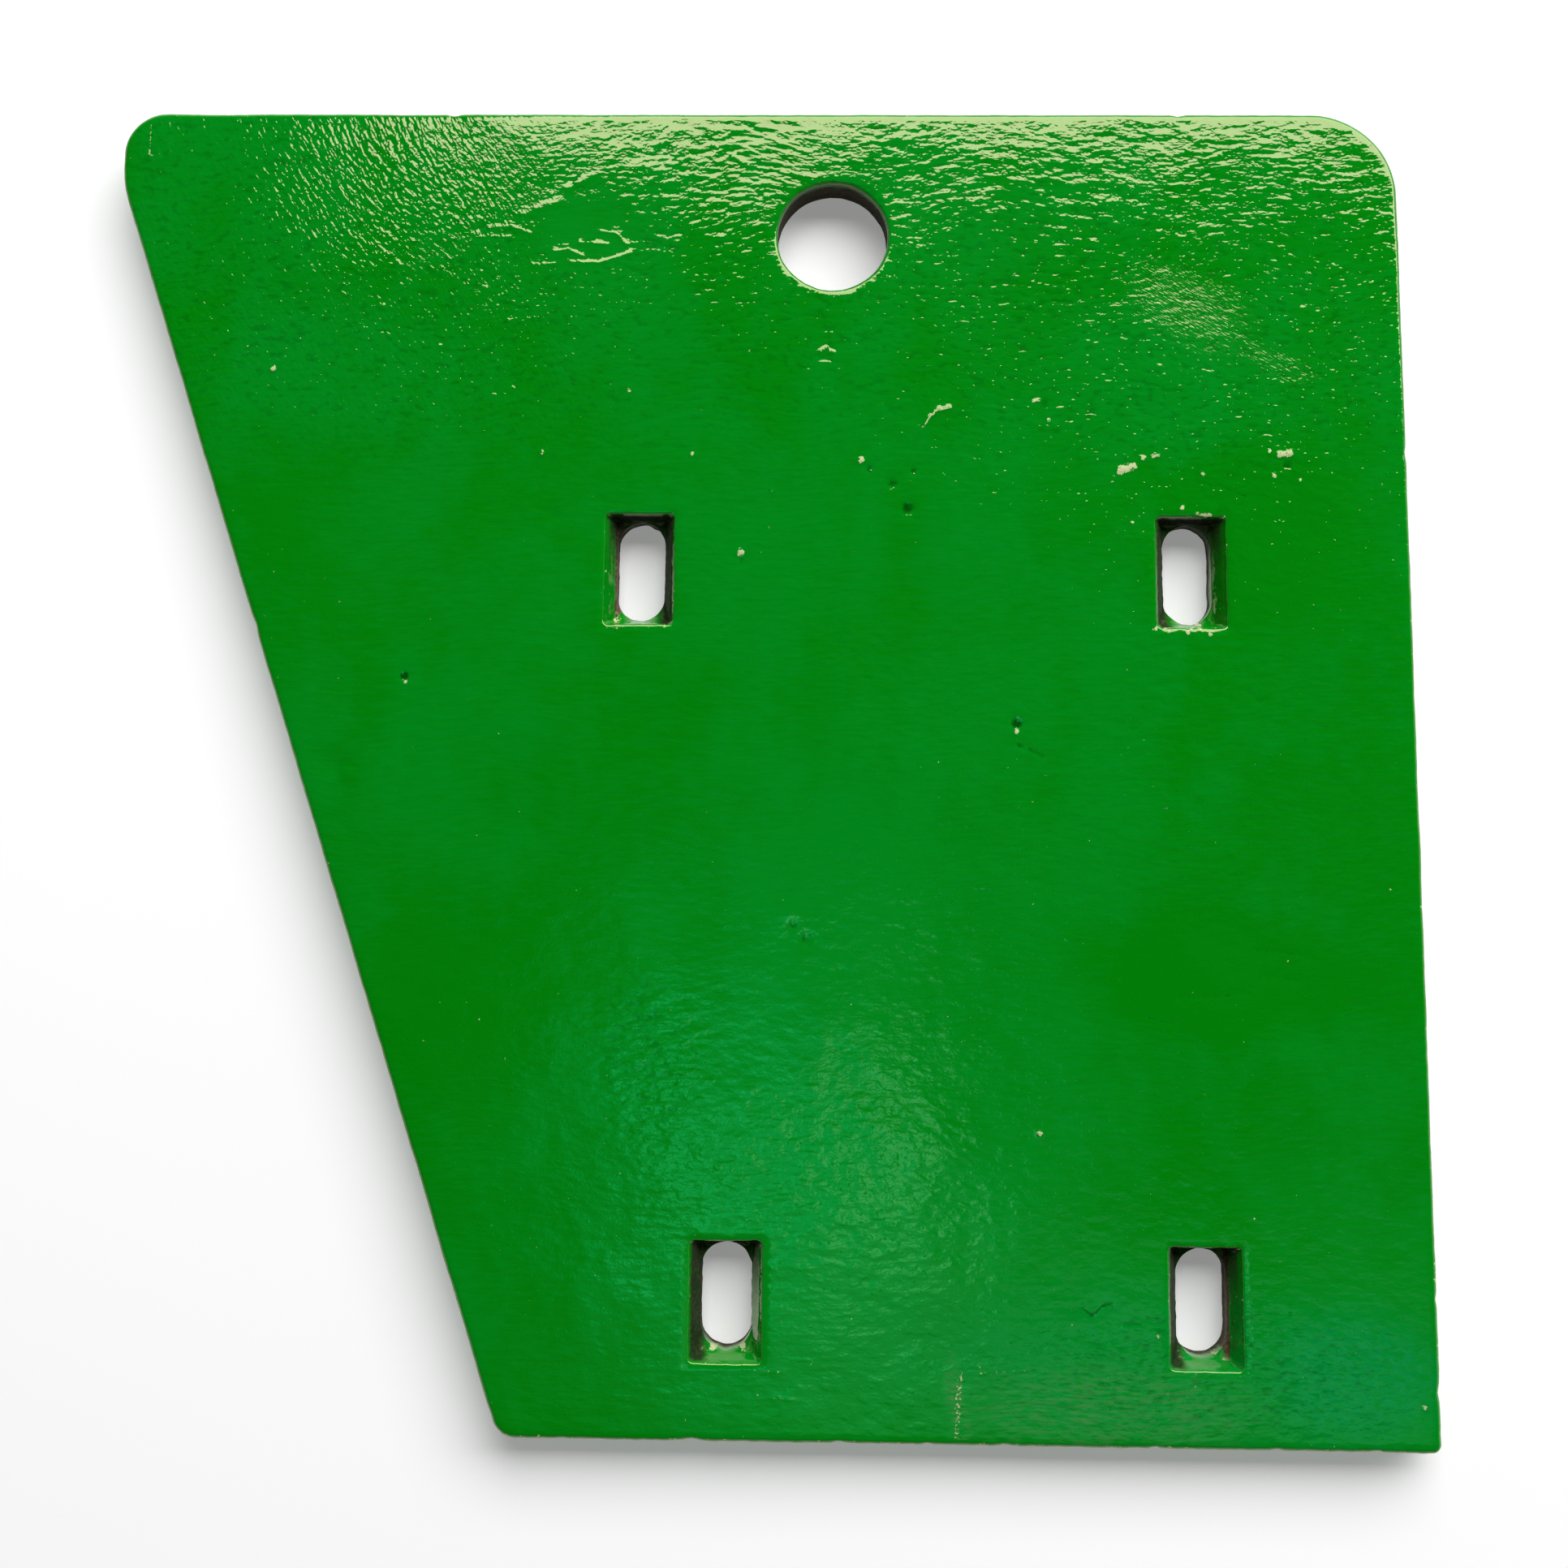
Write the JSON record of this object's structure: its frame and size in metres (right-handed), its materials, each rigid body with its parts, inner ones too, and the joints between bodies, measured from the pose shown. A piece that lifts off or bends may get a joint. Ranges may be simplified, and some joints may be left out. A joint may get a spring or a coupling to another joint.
{
  "type": "jaw crusher cheek plate",
  "caption": "Flat cast wear liner for the side wall of a jaw crusher, slanted on one side, with a lifting hole and slotted fixing holes in tapered pockets.",
  "frame": {"origin": "in the back face, at the middle of the plate's width and height", "axes": "+Z out of the wear face, +Y towards the wide edge with the lifting hole, +X towards the square edge; the plate lies on its back face"},
  "size_m": [0.686, 0.682, 0.025],
  "materials": {
    "green_enamel": "glossy green enamel brushed over a rough steel casting"
  },
  "bodies": {
    "root": {"cheek_plate": "green_enamel"}
  },
  "joints": []
}
